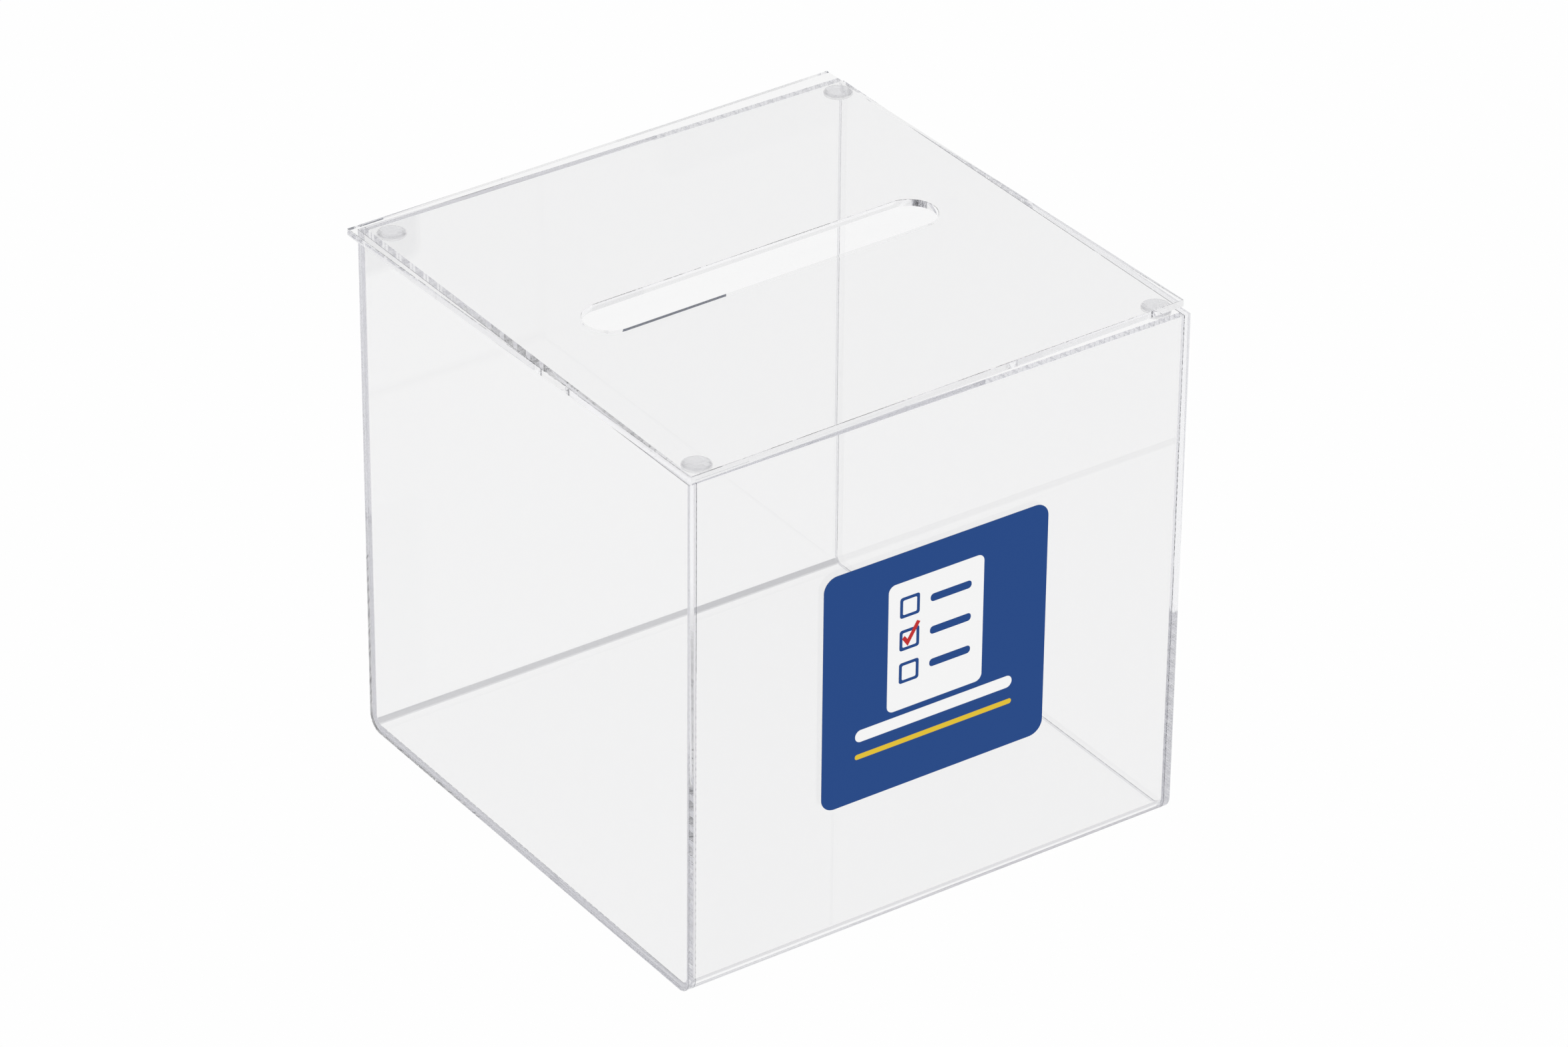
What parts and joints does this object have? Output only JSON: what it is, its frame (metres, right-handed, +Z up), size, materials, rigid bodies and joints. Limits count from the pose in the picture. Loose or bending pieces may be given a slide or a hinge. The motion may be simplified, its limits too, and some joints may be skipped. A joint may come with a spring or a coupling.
{
  "type": "ballot box",
  "caption": "Clear acrylic ballot box: a bent sheet body with cemented side panels, a label on the front wall and a loose slotted lid located by bumpers under its corners.",
  "frame": {"origin": "centre of the box's underside, on the surface that the box stands on", "axes": "+X along the front wall to the right panel, +Y from the front wall, which carries the label, to the back wall, +Z up"},
  "size_m": [0.3068, 0.3078, 0.3],
  "materials": {
    "clear_acrylic": "clear cast acrylic sheet, polished faces, machined edges",
    "acrylic_cement": "clear solvent cement",
    "label_film": "printed self-adhesive film, satin",
    "clear_bumper": "clear soft polyurethane, glossy",
    "clear_adhesive": "clear pressure-sensitive adhesive"
  },
  "bodies": {
    "box": {"bent_sheet": "clear_acrylic", "left_panel": "clear_acrylic", "right_panel": "clear_acrylic", "left_cement": "acrylic_cement", "right_cement": "acrylic_cement", "label": "label_film"},
    "lid": {"lid": "clear_acrylic", "bumper_front_left": "clear_bumper", "bumper_front_right": "clear_bumper", "bumper_back_left": "clear_bumper", "bumper_back_right": "clear_bumper", "bumper_adhesive": "clear_adhesive"}
  },
  "joints": [
    {"name": "lid_lift", "type": "slide", "parent": "box", "child": "lid", "axis": [0, 0, 1], "range_m": [0, 0.06]}
  ]
}
